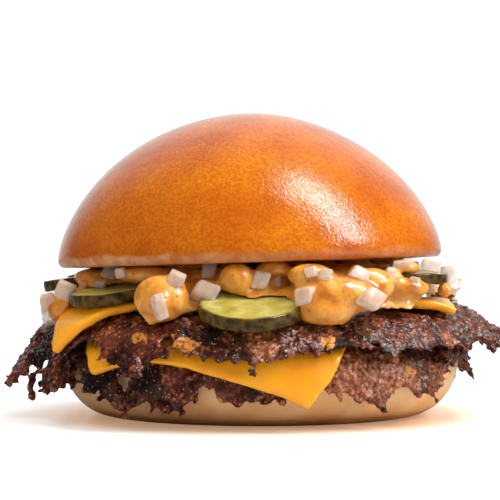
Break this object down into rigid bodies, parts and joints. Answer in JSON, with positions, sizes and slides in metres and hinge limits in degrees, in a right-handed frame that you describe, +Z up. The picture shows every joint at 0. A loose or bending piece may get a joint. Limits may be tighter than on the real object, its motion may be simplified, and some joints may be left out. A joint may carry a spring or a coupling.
{
  "type": "cheeseburger",
  "caption": "Cheeseburger with thin draped beef patties, melted cheese, burger sauce with diced onion and gherkin slices in a round glazed bun.",
  "frame": {"origin": "middle of the bottom bun's flat resting face", "axes": "+Z up through the stack, -Y towards the front that is served to the guest, +X to the right seen from the front"},
  "size_m": [0.1346, 0.132, 0.082],
  "materials": {
    "bread_glazed": "baked golden brown crust with an egg glaze, glossy and finely dimpled",
    "bread_pale": "pale soft bread, smooth and matte",
    "beef": "seared minced beef, craggy, dark brown and wet with fat",
    "cheese": "melted orange cheese, smooth and slightly greasy",
    "sauce": "burger sauce, wet and glossy, with small red flecks",
    "gherkin": "wet pickled gherkin, yellow green flesh and dark olive skin",
    "onion": "raw white onion, wet and translucent"
  },
  "bodies": {
    "root": {"heel": "bread_pale", "patty_lower": "beef", "cheese_lower": "cheese", "patty_upper": "beef", "cheese_upper": "cheese", "sauce": "sauce", "gherkin_1": "gherkin", "gherkin_2": "gherkin", "gherkin_3": "gherkin", "gherkin_4": "gherkin", "gherkin_5": "gherkin", "gherkin_6": "gherkin", "gherkin_7": "gherkin", "gherkin_8": "gherkin", "crown": "bread_glazed"}
  },
  "joints": []
}
